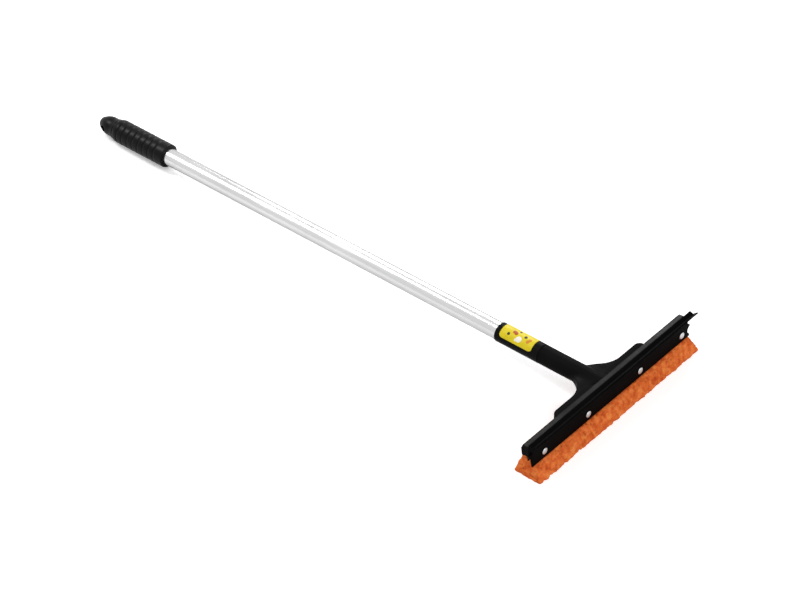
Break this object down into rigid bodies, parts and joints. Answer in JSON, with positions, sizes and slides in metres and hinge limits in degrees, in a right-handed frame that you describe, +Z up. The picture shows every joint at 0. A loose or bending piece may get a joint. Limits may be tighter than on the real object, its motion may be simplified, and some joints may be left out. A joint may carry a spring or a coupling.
{
  "type": "telescopic sponge squeegee",
  "caption": "Telescopic car wash squeegee: T-shaped head with an orange sponge and a rubber blade on a twist-lock aluminium pole with a ribbed rubber grip.",
  "frame": {"origin": "on the floor under the middle of the sponge's flat sole, in the pole's centre plane", "axes": "+X along the head, +Y from the head back along the pole towards the grip, +Z up; the front plate, its rivets and the rubber lip face -Y"},
  "size_m": [0.2635, 0.7238, 0.0489],
  "materials": {
    "head_plastic": "satin moulded",
    "plate_plastic": "satin moulded",
    "collar_plastic": "satin moulded",
    "grip_rubber": "matte",
    "blade_rubber": "matte",
    "orange_foam": "open-cell foam",
    "tube_aluminium": "satin",
    "rivet_aluminium": "satin",
    "zinc_steel": "zinc plated",
    "nylon": "natural"
  },
  "bodies": {
    "head": {"head_body": "head_plastic", "front_plate": "plate_plastic", "squeegee_rubber": "blade_rubber", "sponge": "orange_foam", "rivet_1": "rivet_aluminium", "rivet_2": "rivet_aluminium", "rivet_3": "rivet_aluminium", "rivet_4": "rivet_aluminium", "rivet_washer_1": "rivet_aluminium", "rivet_washer_2": "rivet_aluminium", "rivet_washer_3": "rivet_aluminium", "rivet_washer_4": "rivet_aluminium", "neck_screw": "zinc_steel", "inner_tube": "tube_aluminium", "cam_plug": "nylon", "lock_washer": "zinc_steel", "lock_screw": "zinc_steel"},
    "lock_ring": {"lock_ring": "nylon"},
    "handle": {"outer_tube": "tube_aluminium", "collar": "collar_plastic", "guide_bush": "nylon", "end_plug": "nylon", "grip": "grip_rubber"}
  },
  "joints": [
    {"name": "twist_lock", "type": "hinge", "parent": "head", "child": "lock_ring", "pos_m": [0, 0.62666, 0.01486], "axis": [0, 0.9996, -0.0277], "range_deg": [-90, 90]},
    {"name": "pole_slide", "type": "slide", "parent": "lock_ring", "child": "handle", "axis": [0, 0.9996, -0.0277], "range_m": [0, 0.4]}
  ]
}
